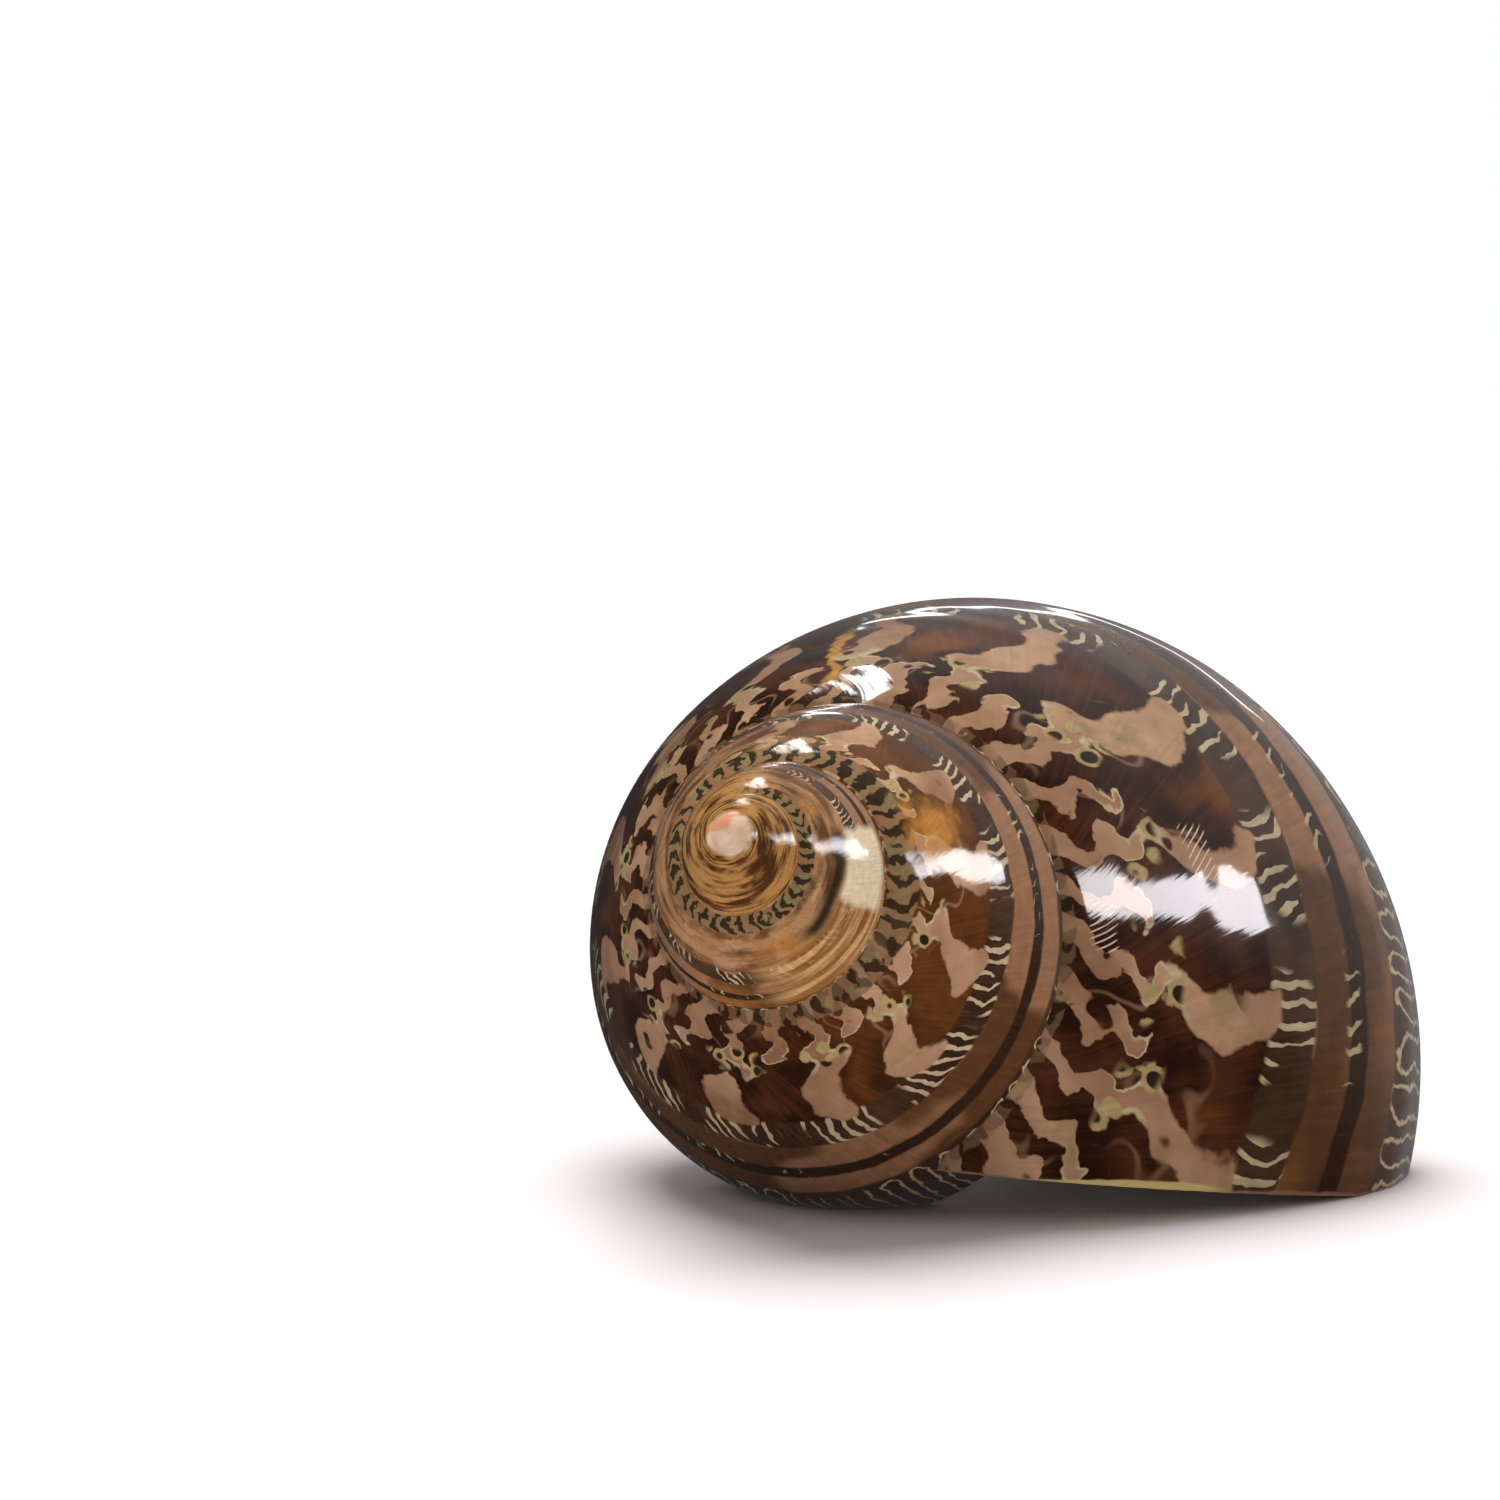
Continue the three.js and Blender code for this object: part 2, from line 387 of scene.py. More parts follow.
# ---------------------------------------------------------------- finishes
class Nodes:
    """A node tree that is built by calls. Their values are sockets or plain numbers and colours."""

    def __init__(self, tree):
        self.tree = tree

    def put(self, kind, inputs, output=0, **settings):
        """Adds a node and gives one of its outputs, or the node itself where output is None."""
        node = self.tree.nodes.new("ShaderNode" + kind)
        for setting, value in settings.items():
            setattr(node, setting, value)
        for socket, value in inputs.items():
            if isinstance(value, bpy.types.NodeSocket):
                self.tree.links.new(value, node.inputs[socket])
            else:
                node.inputs[socket].default_value = value
        return node if output is None else node.outputs[output]

    def math(self, operation, *values):
        return self.put("Math", dict(enumerate(values)), operation=operation)

    def add(self, first, *others):
        for other in others:
            first = self.math("ADD", first, other)
        return first

    def times(self, first, *others):
        for other in others:
            first = self.math("MULTIPLY", first, other)
        return first

    def less(self, a, b):
        return self.math("SUBTRACT", a, b)

    def largest(self, first, *others):
        for other in others:
            first = self.math("MAXIMUM", first, other)
        return first

    def wave(self, turns):
        return self.math("COSINE", self.times(turns, 2 * math.pi))

    def step(self, value, low, high):
        """0 below low and 1 above high, or the reverse where low is above high."""
        return self.put("MapRange", {0: value, 1: low, 2: high, 3: 0.0, 4: 1.0},
                        interpolation_type="SMOOTHSTEP", clamp=True)

    def band(self, value, low, high, soft=0.01):
        """1 between low and high, and 0 outside."""
        return self.times(self.step(value, self.less(low, soft), self.add(low, soft)),
                          self.step(value, self.add(high, soft), self.less(high, soft)))

    def mix(self, share, low, high):
        """A colour between two."""
        colours = {0: share, 6: low, 7: high}
        return self.put("Mix", colours, output=2, data_type="RGBA")

    def blend(self, share, low, high):
        """A number between two."""
        return self.put("Mix", {0: share, 2: low, 3: high}, data_type="FLOAT")

    def vector(self, x, y, z=0.0):
        return self.put("CombineXYZ", {0: x, 1: y, 2: z})

    def noise(self, place, scale, detail=2.0, seed=0.0):
        """Centred on 0, mostly between -0.3 and 0.3."""
        away = (17.3 * seed, 9.1 * seed, 5.7 * seed)
        moved = self.put("VectorMath", {0: place, 1: away}, operation="ADD")
        return self.less(self.put("TexNoise", {"Vector": moved, "Scale": scale, "Detail": detail}), 0.5)

    def curve(self, value, stops):
        """A value that runs smoothly through stops of (place, value), places from 0 to 1."""
        ramp = self.put("ValToRGB", {0: value}, output=None)
        ramp.color_ramp.interpolation = "EASE"
        elements = ramp.color_ramp.elements
        while len(elements) < len(stops):
            elements.new(0.5)
        for element, (place, level) in zip(elements, stops):
            element.position = place
            element.color = (level, level, level, 1)
        return ramp.outputs[0]

    def pair(self, uv_map):
        """The two coordinates of a UV map."""
        parts = self.put("SeparateXYZ", {0: self.put("UVMap", {}, uv_map=uv_map)}, output=None)
        return parts.outputs[0], parts.outputs[1]

    def spot(self):
        """Object coordinates."""
        return self.put("TexCoord", {}, output=3)


class Finish(Nodes):
    """A material, with the settings of its surface."""

    def __init__(self, name, **settings):
        self.material = bpy.data.materials.new(name)
        self.material.use_nodes = True
        super().__init__(self.material.node_tree)
        self.surface = self.tree.nodes["Principled BSDF"]
        for socket, value in settings.items():
            self.surface.inputs[socket.replace("_", " ")].default_value = value

    def join(self, **values):
        """Joins values to sockets of the surface."""
        for socket, value in values.items():
            self.tree.links.new(value, self.surface.inputs[socket.replace("_", " ")])

    def bump(self, height, strength, distance):
        return self.put("Bump", {"Height": height, "Strength": strength, "Distance": distance})


# ---------------------------------------------------------------- the polished pattern
# Blocks follow each other along the whorl, more of them to the turn as the shell grows
BLOCKS_PER_TURN, BLOCKS_WITH_SIZE, BLOCKS_START = 9.5, 8.5, 0.74

# Bands lie one under the other across the whorl
COMB_BAND = (0.53, 0.67)
DARK_LINE = (0.795, 0.855)
BASE_FROM = 0.965


def coil_places(f):
    """Where a point lies on the coil, and the noises that the layers of the pattern share."""
    c = SimpleNamespace()
    c.turn, c.across = f.pair("coil")
    c.growth, c.before_lip = f.pair("lip")
    c.size = f.math("POWER", WHORL_RATIO, c.turn)
    c.blocks = f.add(f.times(c.turn, BLOCKS_PER_TURN), f.times(c.size, BLOCKS_WITH_SIZE), BLOCKS_START)
    c.place = f.vector(c.blocks, f.times(c.across, 3.0))
    c.broad = f.noise(c.place, 0.35, seed=1)
    c.middling = f.noise(c.place, 1.2, seed=2)
    c.small = f.noise(c.place, 3.6, seed=3)
    c.ragged = f.noise(c.place, 13.0, seed=4)
    c.streaks = f.noise(f.vector(f.times(c.growth, 420.0), f.times(c.across, 5.0)), 1.0, 3.0, seed=5)
    c.along = f.noise(f.vector(f.times(c.blocks, 0.9), f.times(c.across, 8.0)), 1.0, 3.0, seed=21)
    c.strands = f.noise(f.vector(f.times(c.blocks, 0.7), f.times(c.across, 15.0)), 1.0, 3.0, seed=25)
    c.inmost = f.step(f.add(c.turn, f.times(c.middling, 0.3)), -2.3, -2.5)
    c.early = f.step(c.turn, -0.75, -1.2)
    # On the last whorl the bands wander down and back
    c.drift = f.curve(f.add(c.turn, 1.1), [(0.0, 0.0), (0.3, 0.0), (0.72, 0.11), (0.95, 0.02)])
    c.level = f.add(f.less(c.across, c.drift), f.times(c.broad, 0.07), f.times(c.small, 0.03))
    return c


def block_places(f, c):
    """Where the pale columns, the narrow bars under the suture, the threads and the islands are."""
    c.shift = f.curve(c.across, [(0.02, 0.0), (0.09, 0.15), (0.15, 0.02), (0.21, 0.16), (0.27, 0.0),
                                 (0.36, 0.2), (0.46, 0.24), (0.6, 0.06)])
    c.phase = f.add(f.less(c.blocks, c.shift), f.times(c.middling, 0.6), f.times(c.small, 0.2))
    c.edge_at = f.add(c.across, f.times(c.middling, 0.12))
    narrow = f.curve(c.across, [(0.24, 0.6), (0.3, 0.4), (0.42, 0.3), (0.55, 0.55)])
    c.columns = f.add(f.less(f.wave(c.phase), narrow), f.times(f.noise(c.place, 0.75, seed=6), 2.2),
                      f.times(c.ragged, 0.35))
    bars = f.add(f.wave(f.add(f.times(c.phase, 2.0), f.times(c.small, 0.5))), f.times(c.middling, 1.6),
                 f.times(c.ragged, 1.3), -0.1)
    c.field = f.blend(f.step(c.edge_at, 0.21, 0.26), bars, c.columns)
    thread = f.times(f.band(f.noise(c.place, 1.5, 1.0, seed=22), -0.004, 0.004, 0.022),
                     f.band(c.edge_at, 0.06, 0.44, 0.03),
                     f.step(f.noise(c.place, 0.8, seed=23), -0.06, 0.04))
    island = f.times(f.step(f.noise(c.place, 3.4, 1.0, seed=24), 0.15, 0.2), f.step(c.edge_at, 0.5, 0.42))
    c.pale = f.largest(f.times(f.step(c.field, -0.12, 0.14), f.less(1.0, island)), thread)


def blocks(f, c):
    """Dark chestnut, amber in places, and pale pink beige with cream edges and some moss."""
    deep = f.step(f.add(f.noise(c.place, 1.7, seed=7), f.times(c.streaks, 0.3)), -0.15, 0.2)
    dark = f.mix(deep, DEEP_CHESTNUT, CHESTNUT)
    glow = f.times(f.step(f.noise(c.place, 0.9, seed=8), -0.02, 0.22), f.step(c.field, -0.3, -1.3),
                   f.step(c.across, 0.16, 0.4), 0.85)
    dark = f.mix(glow, dark, AMBER)
    dark = f.mix(f.times(f.step(c.turn, -0.9, -1.1), 0.35), dark, AMBER)
    light = f.mix(f.step(f.add(f.noise(c.place, 1.1, seed=9), f.times(c.streaks, 0.4)), -0.2, 0.25),
                  PINK_BEIGE, TAN)
    fringe = f.times(f.band(c.field, 0.0, 0.35, 0.1), f.band(c.edge_at, 0.17, 0.3, 0.03))
    light = f.mix(fringe, light, CREAM)
    mossy = f.step(f.add(f.noise(c.place, 1.6, seed=29), f.times(c.ragged, 0.3)), 0.08, 0.22)
    light = f.mix(f.times(mossy, 0.5), light, MOSS)
    return f.mix(c.pale, dark, light)


def eyes(f, c, colour):
    """Small dark eyes ringed with cream."""
    cell = f.put("TexVoronoi", {"Vector": f.vector(f.times(c.blocks, 4.6), f.times(c.across, 11.5)),
                                "Scale": 1.0, "Randomness": 0.7}, feature="F1")
    zone = f.times(f.band(c.edge_at, 0.175, 0.285, 0.012),
                   f.step(f.add(f.wave(c.phase), f.times(c.small, 1.5)), -0.35, 0.1))
    ring = f.step(f.add(cell, f.times(c.ragged, 0.2)), 0.5, 0.42)
    colour = f.mix(f.times(zone, ring), colour, EYE_RING)
    return f.mix(f.times(zone, f.step(cell, 0.33, 0.26)), colour, f.mix(0.5, GREEN_BLACK, DEEP_CHESTNUT))


def small_whorls(f, c, colour):
    """Streaks that run along the coil, fawn and brown with some ochre and green black."""
    spire = f.mix(f.step(f.add(c.along, f.times(c.strands, 0.5)), -0.14, 0.14), UMBER, FAWN)
    spire = f.mix(f.step(f.noise(c.place, 0.7, seed=26), 0.02, 0.2), spire, OCHRE)
    spire = f.mix(f.times(f.step(f.noise(c.place, 1.0, seed=27), 0.1, 0.2), 0.8), spire, GREEN_BLACK)
    reached = f.step(f.add(c.turn, f.times(c.middling, 0.4)), -1.36, -1.56)
    return f.mix(f.times(reached, 0.85), colour, spire)


def inmost_whorls(f, c, colour):
    """Golden streaks round the tip."""
    streak = f.add(c.along, f.times(c.strands, 0.6), f.times(c.middling, 0.4))
    return f.mix(c.inmost, colour, f.mix(f.step(streak, -0.16, 0.12), BRONZE, STRAW))


def bead_chain(f, c, colour):
    """A chain of dark beads along the suture, wide on the early whorls."""
    chain_at = f.add(0.005, f.times(c.early, 0.077), f.times(c.middling, 0.04))
    half_width = f.add(0.02, f.times(c.early, 0.05), f.times(c.small, 0.03))
    off = f.math("DIVIDE", f.less(c.across, chain_at), half_width)
    bent = f.times(off, off)
    beads = f.wave(f.add(f.times(c.blocks, 3.1), f.times(off, 0.12), f.times(bent, 0.2),
                         f.times(c.small, 1.8), f.times(c.middling, 1.2)))
    beads = f.add(f.less(beads, f.times(bent, 0.6)), f.times(c.ragged, 1.6), f.times(c.middling, 1.2))
    between = f.mix(f.step(c.small, -0.1, 0.15), OLIVE, TAN)
    bead_colour = f.mix(f.step(beads, -0.25, 0.15), between, GREEN_BLACK)
    strength = f.times(f.less(1.0, f.times(c.inmost, 0.75)), f.add(0.45, f.times(c.early, 0.55)))
    return f.mix(f.times(f.step(bent, 1.35, 0.9), strength), colour, bead_colour)


def charcoal(f, c, low):
    """Charcoal, deeper along its streaks."""
    return f.mix(f.step(f.add(c.streaks, c.middling), low, 0.3), CHARCOAL, DEEP_CHARCOAL)


def comb_band(f, c, colour):
    """A charcoal band with a comb of bent pale strokes, mostly under the columns."""
    top, bottom = COMB_BAND
    tongue = f.times(f.step(c.columns, -0.1, 0.5), 0.035)
    in_band = f.band(c.level, f.add(top, tongue), bottom, 0.008)
    depth_in = f.times(f.less(c.level, top), 6.7)
    teeth = f.wave(f.add(f.times(c.blocks, 7.8), f.times(depth_in, depth_in, 1.3), f.times(c.small, 1.1),
                         f.times(c.middling, 2.6)))
    ends = f.times(f.noise(f.vector(f.times(c.blocks, 6.0), 0.0), 1.0, seed=28), depth_in, 5.5)
    thin = f.add(0.42, f.times(depth_in, 0.24), f.times(f.noise(c.place, 2.6, seed=10), 1.3), ends)
    column = f.wave(f.less(c.blocks, f.add(c.shift, 0.05)))
    under_column = f.step(f.add(column, f.times(c.middling, 3.0)), -0.6, -0.15)
    strokes = f.times(f.step(f.less(teeth, thin), -0.06, 0.14), under_column)
    return f.mix(in_band, colour, f.mix(strokes, charcoal(f, c, -0.3), BONE))


def plain_bands(f, c, colour):
    """Two plain bands, rosy and brown by turns, with a dark line and its dashes between them."""
    sector = f.add(f.noise(f.vector(c.blocks, 0.0), 0.45, 1.0, seed=11), f.times(c.middling, 0.3))
    last = f.band(f.add(c.turn, f.times(c.middling, 0.02)), -0.195, 0.05, 0.006)
    sector = f.largest(f.step(sector, 0.0, 0.05), f.times(last, 0.85))
    low_rosy = f.times(f.step(f.add(c.turn, f.times(c.middling, 0.05)), -0.1, -0.07),
                       f.step(c.level, 0.83, 0.86))
    plain = f.mix(f.times(sector, f.less(1.0, f.times(low_rosy, 0.7))), ROSY, BROWN)
    plain = f.mix(f.step(f.noise(c.place, 0.8, seed=12), 0.05, 0.3), plain, GOLD)
    under_comb = f.step(c.level, COMB_BAND[1] - 0.008, COMB_BAND[1] + 0.008)
    colour = f.mix(under_comb, colour, plain)

    line_at = f.less(c.level, f.times(c.drift, -0.35))
    dashes = f.wave(f.add(f.times(c.blocks, 7.0), f.times(line_at, 9.0), f.times(c.small, 2.5),
                          f.times(c.middling, 1.5)))
    dashes = f.step(f.add(dashes, f.times(f.noise(c.place, 2.2, seed=16), 3.2)), 1.0, 1.25)
    dashes_in = f.band(line_at, DARK_LINE[0] - 0.01, DARK_LINE[1] - 0.025, 0.01)
    colour = f.mix(f.band(line_at, *DARK_LINE, 0.007), colour, DEEP_CHARCOAL)
    colour = f.mix(f.times(dashes, 0.85, dashes_in), colour, CREAM)
    next_suture = f.times(f.step(c.across, 0.985, 1.0), f.step(c.turn, -1.05, -1.1))
    return f.mix(next_suture, colour, DEEP_CHESTNUT)


def base_arches(f, c, colour):
    """A charcoal base with tall pale arches on its edge, rosy and cream towards the mouth."""
    aside = f.less(f.math("FRACT", f.add(f.times(c.blocks, 4.2), f.times(c.middling, 1.6))), 0.5)
    foot = f.add(1.025, f.times(c.small, 0.14), f.times(c.middling, 0.05))
    over = f.largest(f.less(foot, c.level), 0.0)
    ring = f.math("SQRT", f.add(f.times(aside, aside, 11.0), f.times(over, over, 620.0)))
    ring = f.add(ring, f.times(c.ragged, 0.9), f.times(c.small, 0.5))
    some = f.largest(f.step(f.add(c.middling, c.broad), -0.1, 0.0), f.band(c.turn, -0.215, -0.07, 0.01))
    arches = f.times(f.band(ring, 0.84, 1.16, 0.08), some)
    base = f.mix(arches, charcoal(f, c, -0.25), CREAM)
    near_mouth = f.mix(f.step(c.middling, -0.1, 0.1), ROSY, CREAM)
    base = f.mix(f.step(c.across, 1.55, 1.9), base, near_mouth)
    return f.mix(f.step(c.level, BASE_FROM - 0.01, BASE_FROM + 0.01), colour, base)


def worn_tip(f, c, colour):
    """The tip is worn down to pale pink, with a stain across it."""
    spot = f.spot()
    tip = laid(np.array(0.0), np.array(0.0), np.array(0.0)) * MM
    from_tip = f.put("VectorMath", {0: spot, 1: tuple(tip)}, operation="SUBTRACT")
    away = f.put("VectorMath", {0: from_tip}, output=1, operation="LENGTH")
    c.grain = f.noise(spot, 900.0, 3.0, seed=13)
    c.worn = f.step(f.add(away, f.times(c.grain, 0.0007)), 0.00165, 0.0013)
    to_corner = f.put("VectorMath", {0: from_tip, 1: (-500.0, 0.0, 900.0)}, output=1,
                      operation="DOT_PRODUCT")
    stained = f.times(f.band(f.add(to_corner, f.times(c.grain, 1.2)), 0.35, 0.95, 0.15), 0.8)
    pale = f.mix(f.step(c.grain, -0.2, 0.2), WORN, WORN_SHADE)
    return f.mix(c.worn, colour, f.mix(stained, pale, STAIN))


def gold_crack(f, c, colour):
    """A healed crack across the last whorl, nearly half a turn before the lip."""
    off = f.math("ABSOLUTE", f.less(f.add(c.turn, f.times(c.small, 0.03), f.times(c.across, 0.02)), -0.425))
    crack = f.times(f.step(off, 0.006, 0.002), f.band(c.across, 0.1, 0.5, 0.05))
    return f.mix(f.times(crack, 0.8), colour, BRIGHT_GOLD)


def amber_glow(f, c, colour):
    """Light shows through the second whorl in one place."""
    x, y = f.times(f.add(c.turn, 1.21), 22.0), f.times(f.less(c.across, 0.27), 5.0)
    off = f.math("SQRT", f.add(f.times(x, x), f.times(y, y)))
    glow = f.step(f.add(off, f.times(c.small, 1.5)), 1.0, 0.3)
    return f.mix(f.times(glow, 0.75), colour, GLOWING_AMBER)


def cream_patch(f, c, colour):
    """A bright patch low on the third whorl, with gold beside it and a dark edge over it."""
    x = f.add(c.turn, f.times(c.small, 0.015), f.times(f.less(c.across, 0.6), 0.03), 2.12)
    y = f.add(c.across, f.times(c.middling, 0.1))
    gold = f.times(f.band(x, -0.02, 0.2, 0.04), f.band(y, 0.5, 1.0, 0.08))
    colour = f.mix(f.times(gold, 0.85), colour, f.mix(f.step(c.strands, -0.1, 0.1), OLD_GOLD, PALE_GOLD))
    dark_edge = f.times(f.band(x, -0.08, 0.11, 0.02), f.band(y, 0.36, 0.48, 0.05))
    colour = f.mix(dark_edge, colour, GREEN_BLACK)
    patch = f.times(f.band(x, -0.085, 0.03, 0.008), f.band(y, 0.5, 0.93, 0.04))
    return f.mix(patch, colour, BRIGHT_CREAM)


# Turn and place across the whorl, half the length and half the width of the group, and its colour, which is
# painted light: a pale glint for the first two, and painted shade inside the highlight on the last whorl
# for the third.
SCRATCH_LIGHTS = [(-0.156, 0.095, 0.014, 0.03, SCRATCH_GLINT),
             (-0.203, 0.4, 0.013, 0.035, SCRATCH_GLINT),
             (-0.174, 0.413, 0.011, 0.018, SCRATCH_SHADE)]


def lit_scratches(f, c, colour):
    """Groups of fine scratched lines with painted light: pale glints where they catch the lamps, and
    painted shade inside the highlight on the last whorl.
    """
    for at_turn, at_across, half_length, half_width, scratch_light in SCRATCH_LIGHTS:
        x, y = f.less(c.turn, at_turn), f.less(c.across, at_across)
        ticks = f.wave(f.add(f.times(x, 250.0), f.times(y, 50.0), f.times(c.middling, 3.0)))
        ticks = f.times(f.step(f.add(ticks, f.times(c.ragged, 0.8)), 0.62, 0.86),
                        f.band(x, -half_length, half_length, 0.002),
                        f.band(f.add(y, f.times(c.ragged, 0.03)), -half_width, half_width, 0.006))
        # Paints each group's light over its marks: pale glints, and shade for the dark one.
        colour = f.mix(f.times(ticks, 0.85), colour, scratch_light)
    return colour


def growth_tone(f, c, colour):
    """Lighter and darker growth lines under the polish, and lighter early whorls."""
    mottle = f.noise(c.place, 7.0, 3.0, seed=30)
    tone = f.add(0.82, f.times(c.streaks, 0.55), f.times(mottle, 0.45),
                 f.times(f.step(c.turn, -0.8, -1.1), 0.2))
    colour = f.put("VectorMath", {0: colour, 1: POLISH}, operation="MULTIPLY")
    return f.put("VectorMath", {0: colour, "Scale": tone}, operation="SCALE")


def rim(f, c, colour):
    """The lip's edge shows as a thin line, yellow over the flank and tan elsewhere."""
    width = f.add(0.2, f.times(f.band(c.across, 0.25, 0.5, 0.08), 0.5))
    past = f.less(f.add(c.before_lip, f.times(c.small, 0.6)), width)
    edge_colour = f.mix(f.band(c.across, 0.16, 0.55, 0.06), TAN, LIP_YELLOW)
    return f.mix(f.step(past, 0.12, -0.12), colour, edge_colour)


def pattern_finish():
    """The polished pattern: colours in a dull layer, under a clear, slightly wavy one."""
    f = Finish("patterned_shell", Roughness=0.3, IOR=1.1, Coat_Weight=1.0, Coat_Roughness=0.06,
               Coat_IOR=1.5)
    c = coil_places(f)
    block_places(f, c)
    colour = blocks(f, c)
    # The inmost whorls are golden under the beads, and again over the bands
    for layer in (eyes, small_whorls, inmost_whorls, bead_chain, comb_band, plain_bands, base_arches,
                  inmost_whorls, worn_tip, gold_crack, amber_glow, cream_patch, lit_scratches, growth_tone,
                  rim):
        colour = layer(f, c, colour)
    rough = f.add(0.26, f.times(c.streaks, 0.12), f.times(c.worn, 0.2), f.times(c.pale, 0.05))
    swell = f.noise(f.vector(f.times(c.growth, 16.0), f.times(c.across, 5.0)), 1.0, 0.8, seed=15)
    swell = f.times(swell, c.size, 2.6)
    pits = f.times(c.worn, c.grain, 0.5)
    under = f.bump(f.add(f.times(c.streaks, 0.04), swell, pits), 0.4, 0.0004)
    polish = f.bump(f.add(swell, f.times(c.streaks, 0.03), pits), 0.4, 0.0004)
    f.join(Base_Color=colour, Roughness=rough, Normal=under, Coat_Normal=polish)
    return f.material


def margin_finish():
    """The lip's edge: yellow, going tan towards the base, with cream clouds."""
    f = Finish("lip_margin", IOR=1.4)
    across = f.pair("coil")[1]
    cloud = f.noise(f.spot(), 260.0, 3.0, seed=31)
    colour = f.mix(f.band(f.add(across, f.times(cloud, 0.2)), 0.16, 0.55, 0.06), TAN, LIP_YELLOW)
    colour = f.mix(f.times(f.step(cloud, -0.1, 0.2), 0.4), colour, CREAM)
    f.join(Base_Color=colour, Roughness=f.add(0.36, f.times(cloud, 0.2)))
    return f.material


def nacre_finish():
    """Mother of pearl: pale, with slow drifts of pink and green and fine growth ripples."""
    f = Finish("nacre", Coat_Weight=0.6, Coat_Roughness=0.08)
    turn, around = f.pair("coil")
    drift = f.noise(f.spot(), 110.0, 2.0, seed=32)
    ripples = f.noise(f.vector(f.times(turn, 160.0), f.times(around, 5.0)), 1.0, 2.0, seed=33)
    colour = f.mix(f.step(f.add(drift, f.times(ripples, 0.3)), -0.15, 0.15), PEARL_PINK, PEARL_GREEN)
    colour = f.mix(f.step(ripples, 0.0, 0.3), colour, PEARL_WHITE)
    rough = f.add(0.24, f.times(ripples, 0.15))
    f.join(Base_Color=colour, Roughness=rough, Normal=f.bump(ripples, 0.2, 0.0002))
    return f.material


# ---------------------------------------------------------------- the shell
SHARP_EDGE = math.radians(38)

whorls = skin_grid(FIRST_STEP, slice(0, FLANK_COLUMNS + 1))
under = skin_grid(FIRST_BASE_STEP, slice(FLANK_COLUMNS, None))
shell = welded("turban_shell", [whorls, under, mouth_grid()], on_ground=True)
inside = welded("inside", [hollow_grid()])
finishes = [pattern_finish(), margin_finish(), nacre_finish()]
for thing in (shell, inside):
    for material in finishes:
        thing.data.materials.append(material)
carve(shell, inside)
shell.data.set_sharp_from_angle(angle=SHARP_EDGE)

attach(shell, "root")
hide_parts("shell")


# ---------------------------------------------------------------- floor
FLOOR_RADIUS = 3.0

ground = bmesh.new()
bmesh.ops.create_circle(ground, cap_ends=True, segments=64, radius=FLOOR_RADIUS)
floor_mesh = bpy.data.meshes.new("floor")
ground.to_mesh(floor_mesh)
ground.free()
floor_finish = Finish("floor", Base_Color=(0.92, 0.87, 0.885, 1), Roughness=0.7)
floor = bpy.data.objects.new("floor", floor_mesh)
floor.data.materials.append(floor_finish.material)
bpy.context.scene.collection.objects.link(floor)
floor.visible_glossy = False

# ---------------------------------------------------------------- light
MIDDLE = Vector((0, 0, 0.02))

# Soft boxes that only make the highlights: direction from the shell, distance, size, power and colour
SOFT_BOXES = {
    "side_box": ((0.871, -0.352, 0.342), 0.6, (0.44, 0.1), 2.2, (1, 0.96, 1)),
    "top_box": ((-0.08, 0.5, 0.86), 0.7, (0.035, 0.34), 0.75, (1, 1, 1)),
    "top_strip": ((-0.17, 0.5, 0.86), 0.7, (0.016, 0.2), 0.2, (1, 1, 1)),
    "back_box": ((0.2, 0.92, 0.34), 0.9, (0.5, 0.04), 0.22, (1, 1, 1)),
}
OVERHEAD_FROM = Vector((-0.12, 0.12, 0.97))
BRIGHT_SIDE = (0.68, 0.58, 0.45)


def facing(direction):
    """The turn of a lamp that shines from a direction."""
    return direction.to_track_quat("Z", "Y").to_euler()


for name, (towards, away, size, power, colour) in SOFT_BOXES.items():
    lamp = bpy.data.lights.new(name, "AREA")
    lamp.shape = "RECTANGLE"
    lamp.size, lamp.size_y = size
    lamp.energy = power
    lamp.color = colour
    box = bpy.data.objects.new(name, lamp)
    direction = Vector(towards).normalized()
    box.location = MIDDLE + direction * away
    box.rotation_euler = facing(direction)
    box.visible_diffuse = False
    bpy.context.scene.collection.objects.link(box)

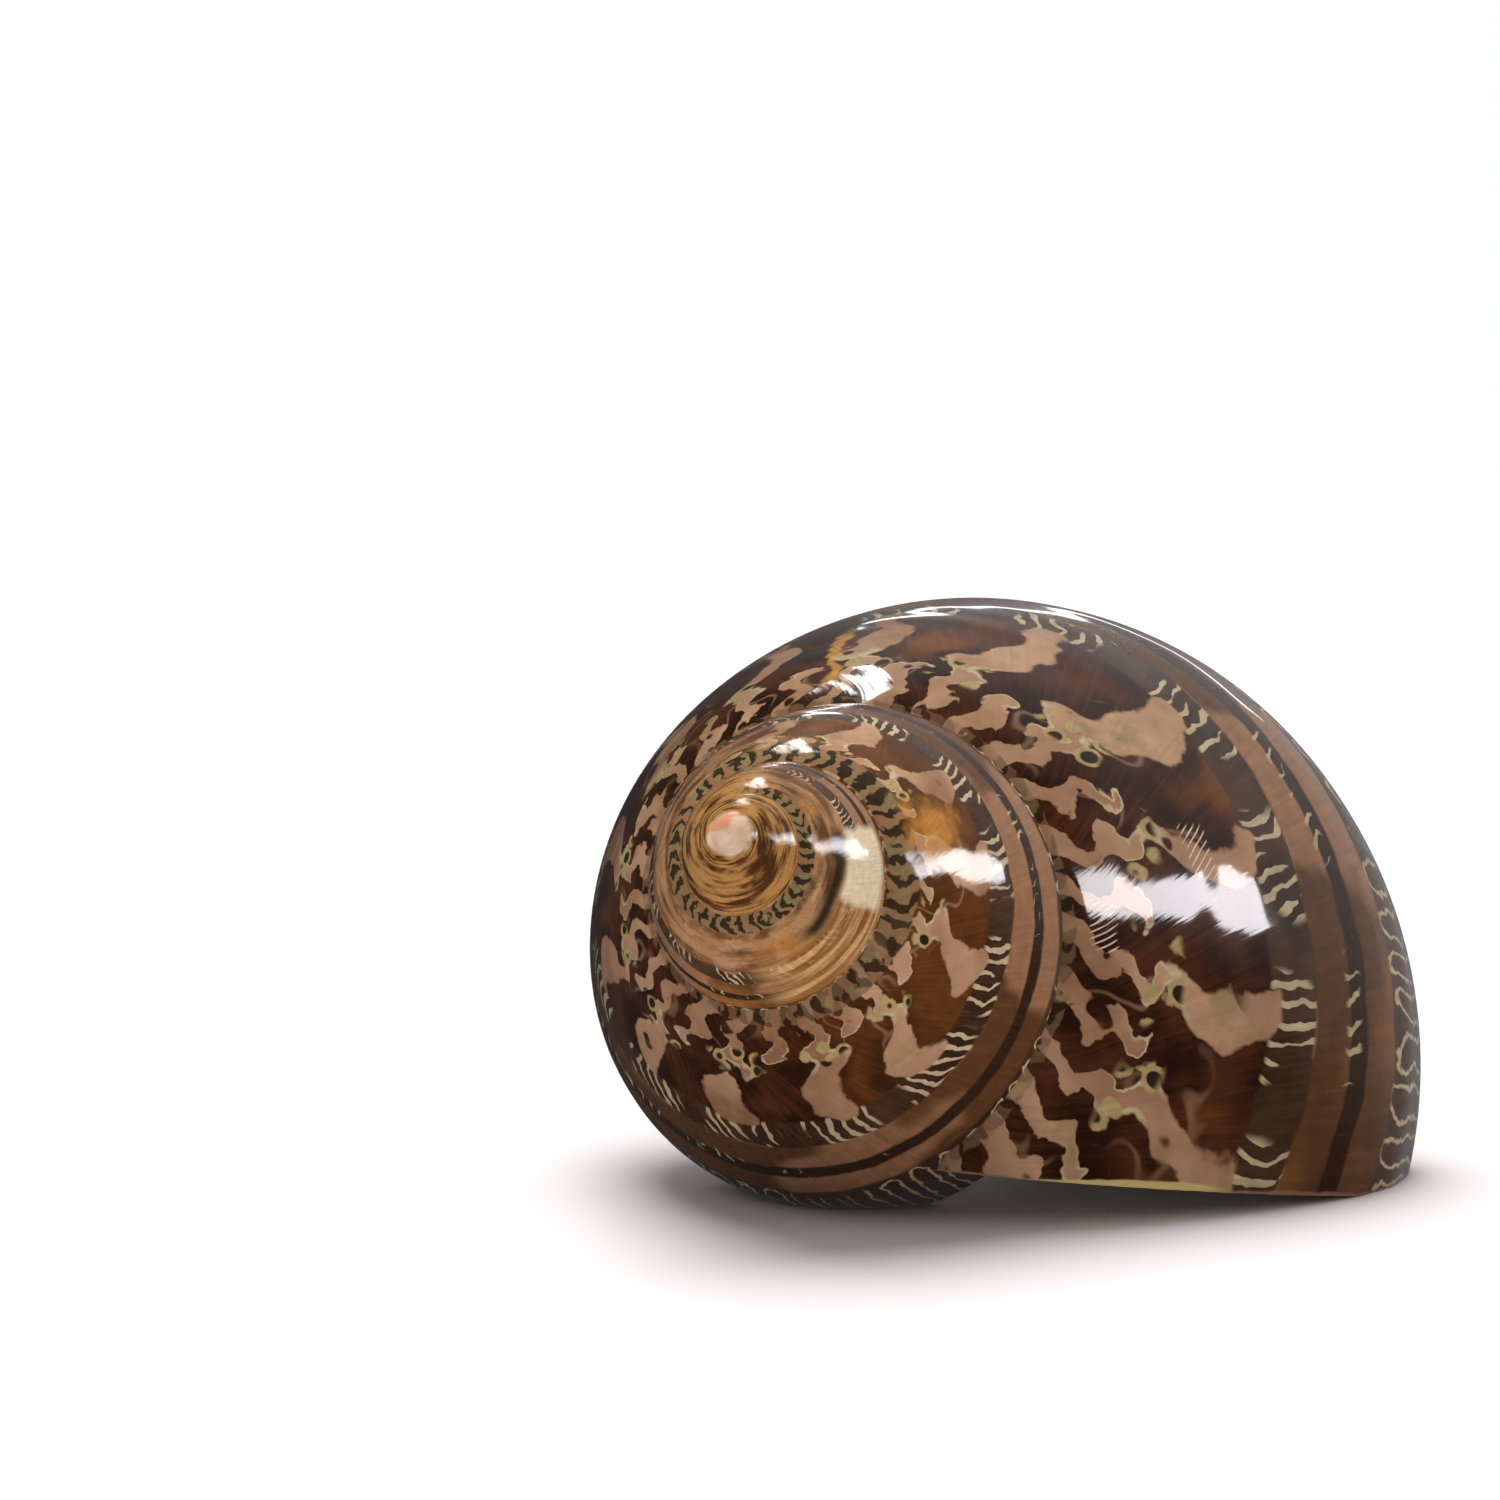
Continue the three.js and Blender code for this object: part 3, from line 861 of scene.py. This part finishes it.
overhead = bpy.data.lights.new("overhead", "SUN")
overhead.energy, overhead.angle = 2.8, math.radians(42)
sun = bpy.data.objects.new("overhead", overhead)
sun.rotation_euler = facing(OVERHEAD_FROM)
sun.visible_glossy = False
bpy.context.scene.collection.objects.link(sun)


def studio():
    """White behind the shell, a warm grey light all round it, and a dim room mirrored in its polish."""
    world = bpy.data.worlds.new("studio")
    world.use_nodes = True
    world.node_tree.nodes.clear()
    sky = Nodes(world.node_tree)
    rays = sky.put("LightPath", {}, output=None).outputs
    backdrop = sky.put("Background", {"Color": (1, 1, 1, 1)})
    around = sky.put("Background", {"Color": (1, 0.95, 0.94, 1), "Strength": 0.46})
    lean = sky.put("VectorMath", {0: sky.put("TexCoord", {}), 1: BRIGHT_SIDE}, output="Value",
                   operation="DOT_PRODUCT")
    fade = sky.put("MapRange", {"Value": lean, "From Min": 0.45, "From Max": 1.0, "To Min": 0.03,
                                "To Max": 0.42}, interpolation_type="SMOOTHSTEP")
    mirrored = sky.put("Background", {"Color": (1, 0.99, 1, 1), "Strength": fade})
    room = sky.put("MixShader", {0: rays["Is Glossy Ray"], 1: around, 2: mirrored})
    seen = sky.put("MixShader", {0: rays["Is Camera Ray"], 1: room, 2: backdrop})
    sky.put("OutputWorld", {"Surface": seen}, output=None)
    return world


bpy.context.scene.world = studio()
bpy.context.scene.view_settings.view_transform = "Standard"

# ---------------------------------------------------------------- camera
FOCAL_LENGTH, SENSOR_WIDTH = 96, 36
EYE = Vector((-17.39, -253.69, 50.48))
FORWARD = Vector((0.001, 0.9962, -0.0872)).normalized()
UPWARD = Vector((-0.0113, 0.0872, 0.9961))

view = bpy.data.cameras.new("camera")
view.lens, view.sensor_width = FOCAL_LENGTH, SENSOR_WIDTH
view.clip_start, view.clip_end = 0.01, 20
camera = bpy.data.objects.new("camera", view)
side = FORWARD.cross(UPWARD).normalized()
turned = Matrix((side, side.cross(FORWARD).normalized(), -FORWARD)).transposed()
camera.matrix_world = Matrix.Translation(EYE * MM) @ turned.to_4x4()
bpy.context.scene.collection.objects.link(camera)
bpy.context.scene.camera = camera

bpy.context.view_layer.update()
